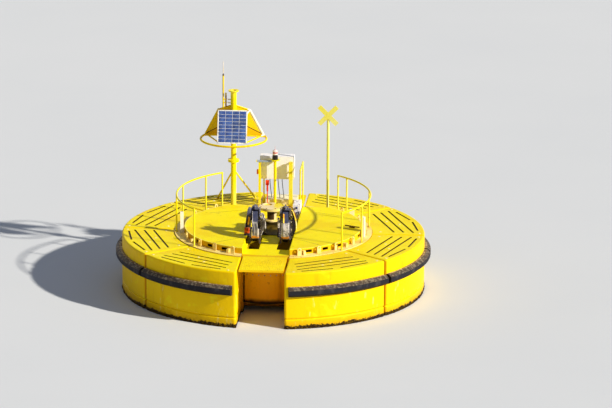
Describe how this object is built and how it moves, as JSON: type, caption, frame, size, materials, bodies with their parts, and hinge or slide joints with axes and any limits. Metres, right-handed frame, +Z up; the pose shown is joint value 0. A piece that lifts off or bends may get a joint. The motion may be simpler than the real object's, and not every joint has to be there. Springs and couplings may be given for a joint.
{
  "type": "offshore mooring buoy with quick-release hooks",
  "caption": "Round slotted mooring buoy of yellow float modules round a steel core, with fenders, quick-release hooks, capstan, handrails, mast and topmark.",
  "frame": {"origin": "on the ground under the middle of the hull", "axes": "+Z up, +Y along the slot to the end with the mast, +X to the right when looking along +Y"},
  "size_m": [8.33, 8.1932, 6.545],
  "materials": {
    "float_plastic": "weathered satin",
    "fender_rubber": "scuffed",
    "core_paint": "weathered",
    "rim_paint": "faded",
    "deck_paint": "satin",
    "rail_paint": "satin",
    "solar_cells": "glossy",
    "antenna_paint": "satin",
    "lantern_body": "glossy",
    "white_paint": "satin",
    "bed_steel": "worn",
    "capstan_paint": "worn",
    "hook_steel": "worn",
    "line_rubber": "satin",
    "signal_paint": "satin",
    "cleat_steel": "worn",
    "prong_steel": "worn"
  },
  "bodies": {
    "buoy": {"float_lower_left": "float_plastic", "float_lower_right": "float_plastic", "float_upper_left": "float_plastic", "float_upper_right": "float_plastic", "fender_left": "fender_rubber", "fender_right": "fender_rubber", "keel_flange": "core_paint", "core_shell_left": "core_paint", "core_shell_right": "core_paint", "core_girder_left": "core_paint", "core_girder_right": "core_paint", "mooring_column": "core_paint", "cross_beams": "core_paint", "hook_well": "core_paint", "nose_panel_front": "core_paint", "nose_panel_rear": "core_paint", "rim_left": "rim_paint", "rim_right": "rim_paint", "deck_plate_left": "deck_paint", "deck_plate_right": "deck_paint", "centre_floor": "deck_paint", "walkway_front": "deck_paint", "walkway_rear": "deck_paint", "handrail_left": "rail_paint", "handrail_right": "rail_paint", "walkway_rail": "rail_paint", "mast_lower": "rail_paint", "mast_upper": "rail_paint", "radar_reflector": "rail_paint", "cross_topmark": "rail_paint", "gantry": "rail_paint", "lamp_post": "rail_paint", "solar_panel": "solar_cells", "antenna": "antenna_paint", "lantern": "lantern_body", "cabinet": "white_paint", "deck_boxes": "white_paint", "rail_lockers": "rim_paint", "hydraulic_lines": "line_rubber", "signal_lever": "signal_paint", "deck_cleat": "cleat_steel", "hook_bed": "bed_steel"},
    "capstan": {"capstan_drum": "capstan_paint"},
    "cabinet_door": {"cabinet_door": "white_paint"},
    "hook_swivel_left": {"hook_swivel_left": "hook_steel"},
    "hook_frame_left": {"hook_frame_left": "hook_steel"},
    "hook_prong_left": {"hook_prong_left": "prong_steel"},
    "hook_swivel_right": {"hook_swivel_right": "hook_steel"},
    "hook_frame_right": {"hook_frame_right": "hook_steel"},
    "hook_prong_right": {"hook_prong_right": "prong_steel"}
  },
  "joints": [
    {"name": "hook_yaw_left", "type": "hinge", "parent": "buoy", "child": "hook_swivel_left", "pos_m": [-0.44, -0.52, 2.73], "axis": [0, 0, 1], "range_deg": [-7, 1]},
    {"name": "hook_pitch_left", "type": "hinge", "parent": "hook_swivel_left", "child": "hook_frame_left", "pos_m": [-0.42606, -0.67939, 2.73], "axis": [-0.9962, -0.0872, 0], "range_deg": [0, 25]},
    {"name": "hook_release_left", "type": "hinge", "parent": "hook_frame_left", "child": "hook_prong_left", "pos_m": [-0.40427, -0.92844, 2.635], "axis": [0.9962, 0.0872, 0], "range_deg": [0, 70]},
    {"name": "hook_yaw_right", "type": "hinge", "parent": "buoy", "child": "hook_swivel_right", "pos_m": [0.36, -0.52, 2.73], "axis": [0, 0, 1], "range_deg": [-7, 1]},
    {"name": "hook_pitch_right", "type": "hinge", "parent": "hook_swivel_right", "child": "hook_frame_right", "pos_m": [0.37394, -0.67939, 2.73], "axis": [-0.9962, -0.0872, 0], "range_deg": [0, 25]},
    {"name": "hook_release_right", "type": "hinge", "parent": "hook_frame_right", "child": "hook_prong_right", "pos_m": [0.39573, -0.92844, 2.635], "axis": [0.9962, 0.0872, 0], "range_deg": [0, 70]},
    {"name": "capstan_spin", "type": "hinge", "parent": "buoy", "child": "capstan", "pos_m": [-0.11, 0.75, 2.795], "axis": [0, 0, 1], "continuous": true},
    {"name": "cabinet_door_hinge", "type": "hinge", "parent": "buoy", "child": "cabinet_door", "pos_m": [-0.47, 2.902, 3.545], "axis": [0, 0, 1], "range_deg": [0, 90]}
  ]
}
